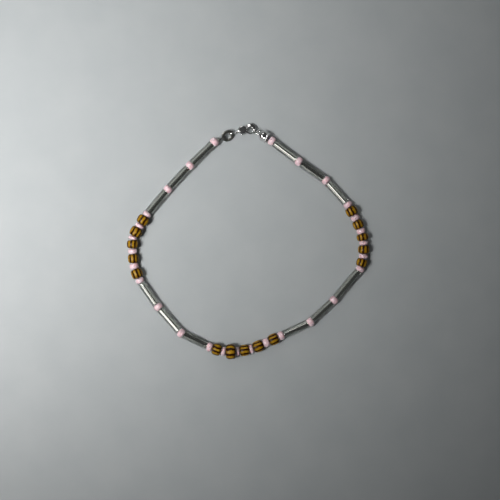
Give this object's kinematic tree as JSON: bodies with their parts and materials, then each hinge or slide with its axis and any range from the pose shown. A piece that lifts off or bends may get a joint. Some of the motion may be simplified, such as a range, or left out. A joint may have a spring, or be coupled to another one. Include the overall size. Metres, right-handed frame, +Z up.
{
  "type": "beaded bracelet",
  "caption": "Slim bracelet of clear bugle beads and groups of amber striped beads, spaced by pink seed beads on a thread and closed by a small silver lobster clasp.",
  "frame": {"origin": "middle of the loop's box, on the surface that the beads lie on", "axes": "+Z up out of the loop, which lies flat; +Y towards the clasp; +X to the right of the clasp seen from above"},
  "size_m": [0.0652, 0.0634, 0.0041],
  "materials": {
    "pink_glass": "opaque pale pink glass, glossy",
    "striped_amber_glass": "translucent amber glass with dark brown stripes along the hole, glossy",
    "clear_lined_glass": "clear glass tube with a silvered square hole, glossy",
    "silver_metal": "polished silver-coloured metal"
  },
  "bodies": {
    "bracelet": {"seed_bead_string": "pink_glass", "bugle_01": "clear_lined_glass", "bugle_02": "clear_lined_glass", "bugle_03": "clear_lined_glass", "bugle_04": "clear_lined_glass", "bugle_05": "clear_lined_glass", "bugle_06": "clear_lined_glass", "bugle_07": "clear_lined_glass", "bugle_08": "clear_lined_glass", "bugle_09": "clear_lined_glass", "bugle_10": "clear_lined_glass", "bugle_11": "clear_lined_glass", "bugle_12": "clear_lined_glass", "striped_bead_01": "striped_amber_glass", "striped_bead_02": "striped_amber_glass", "striped_bead_03": "striped_amber_glass", "striped_bead_04": "striped_amber_glass", "striped_bead_05": "striped_amber_glass", "striped_bead_06": "striped_amber_glass", "striped_bead_07": "striped_amber_glass", "striped_bead_08": "striped_amber_glass", "striped_bead_09": "striped_amber_glass", "striped_bead_10": "striped_amber_glass", "striped_bead_11": "striped_amber_glass", "striped_bead_12": "striped_amber_glass", "striped_bead_13": "striped_amber_glass", "striped_bead_14": "striped_amber_glass", "striped_bead_15": "striped_amber_glass", "clasp_body": "silver_metal", "ring_left": "silver_metal", "ring_right": "silver_metal", "bell_cap": "silver_metal", "crimp": "silver_metal"},
    "lever": {"clasp_lever": "silver_metal"}
  },
  "joints": [
    {"name": "clasp_lever_hinge", "type": "hinge", "parent": "bracelet", "child": "lever", "pos_m": [-0.00109, 0.02946, 0.00106], "axis": [0, 0, 1], "range_deg": [0, 18], "stiffness_Nm_per_rad": 0.001}
  ]
}
